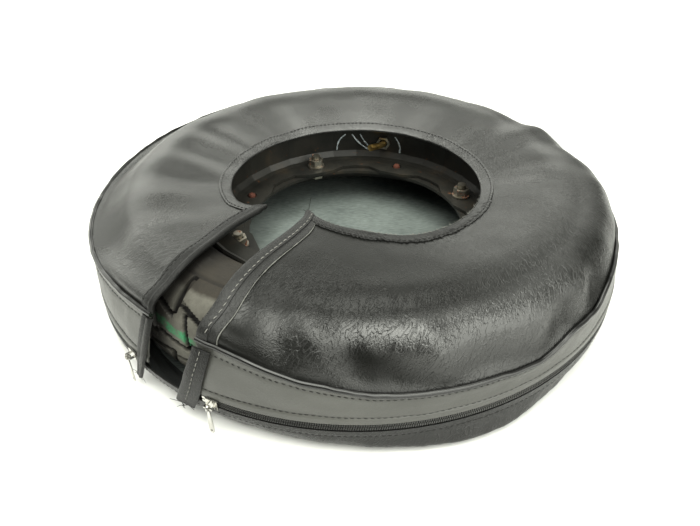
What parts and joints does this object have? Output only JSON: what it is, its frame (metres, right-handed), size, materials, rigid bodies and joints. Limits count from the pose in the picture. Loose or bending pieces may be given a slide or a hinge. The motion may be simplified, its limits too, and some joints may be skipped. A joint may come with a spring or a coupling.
{
  "type": "zip-up spare wheel cover, fitted on its wheel",
  "caption": "Round black leatherette spare wheel cover with piped edge, open centre and a slit, zipped round a small wheel.",
  "frame": {"origin": "centre of the back panel's outer face, on the wheel's axle line", "axes": "+Z along the axle, from the back panel to the open front; the slit lies on the -X -Y side"},
  "size_m": [0.4473, 0.448, 0.0999],
  "materials": {
    "leatherette": "black leather-grain vinyl, half gloss",
    "band_leatherette": "black vinyl, lightly grained",
    "piping": "glossy black vinyl cord",
    "binding": "folded black vinyl edging with a stitch line",
    "lining": "grey-blue brushed backing",
    "zip_tape": "black woven tape",
    "zip_teeth": "black moulded teeth",
    "zip_metal": "plated, slightly worn",
    "tyre_rubber": "dusty black rubber",
    "tube_rubber": "smooth black rubber",
    "rim_paint": "dark paint with rust spots",
    "zinc_hardware": "dull zinc, a little rusty",
    "valve_brass": "worn brass"
  },
  "bodies": {
    "lower_shell": {"back_panel": "lining", "lower_band": "leatherette", "zip_tape_lower": "zip_tape", "zip_teeth_lower": "zip_teeth", "zip_stop_left_lower": "zip_metal", "zip_stop_right_lower": "zip_metal"},
    "front_shell": {"front_panel": "leatherette", "upper_band": "band_leatherette", "edge_piping": "piping", "opening_binding": "binding", "slit_binding_left": "binding", "slit_binding_right": "binding", "slit_tail_left": "binding", "slit_tail_right": "binding", "zip_tape_upper": "zip_tape", "zip_teeth_upper": "zip_teeth", "zip_stop_left_upper": "zip_metal", "zip_stop_right_upper": "zip_metal"},
    "slider_right": {"zip_slider_right": "zip_metal"},
    "pull_right": {"zip_pull_right": "zip_metal"},
    "slider_left": {"zip_slider_left": "zip_metal"},
    "pull_left": {"zip_pull_left": "zip_metal"},
    "wheel": {"inner_tube": "tube_rubber", "rim_bolt_1": "zinc_hardware", "rim_bolt_2": "zinc_hardware", "rim_bolt_3": "zinc_hardware", "rim_bolt_4": "zinc_hardware", "rim_inner_half": "rim_paint", "rim_nut_1": "zinc_hardware", "rim_nut_2": "zinc_hardware", "rim_nut_3": "zinc_hardware", "rim_nut_4": "zinc_hardware", "rim_outer_half": "rim_paint", "rim_washer_1": "zinc_hardware", "rim_washer_2": "zinc_hardware", "rim_washer_3": "zinc_hardware", "rim_washer_4": "zinc_hardware", "tyre": "tyre_rubber", "valve_nut": "zinc_hardware", "valve_stem": "valve_brass"}
  },
  "joints": [
    {"name": "front_open", "type": "hinge", "parent": "lower_shell", "child": "front_shell", "pos_m": [0.13631, 0.18089, 0.028], "axis": [-0.7986, 0.6018, 0], "range_deg": [0, 100]},
    {"name": "slider_right_travel", "type": "hinge", "parent": "lower_shell", "child": "slider_right", "pos_m": [0, 0, 0.028], "axis": [0, 0, 1], "range_deg": [0, 144]},
    {"name": "slider_left_travel", "type": "hinge", "parent": "lower_shell", "child": "slider_left", "pos_m": [0, 0, 0.028], "axis": [0, 0, 1], "range_deg": [-146, 0]},
    {"name": "pull_right_swing", "type": "hinge", "parent": "slider_right", "child": "pull_right", "pos_m": [-0.09795, -0.20722, 0.028], "axis": [-0.9041, 0.4274, 0], "range_deg": [0, 165]},
    {"name": "pull_left_swing", "type": "hinge", "parent": "slider_left", "child": "pull_left", "pos_m": [-0.16459, -0.1595, 0.028], "axis": [-0.6959, 0.7181, 0], "range_deg": [0, 165]},
    {"name": "wheel_turn", "type": "hinge", "parent": "lower_shell", "child": "wheel", "pos_m": [0, 0, 0.048], "axis": [0, 0, 1], "continuous": true}
  ]
}
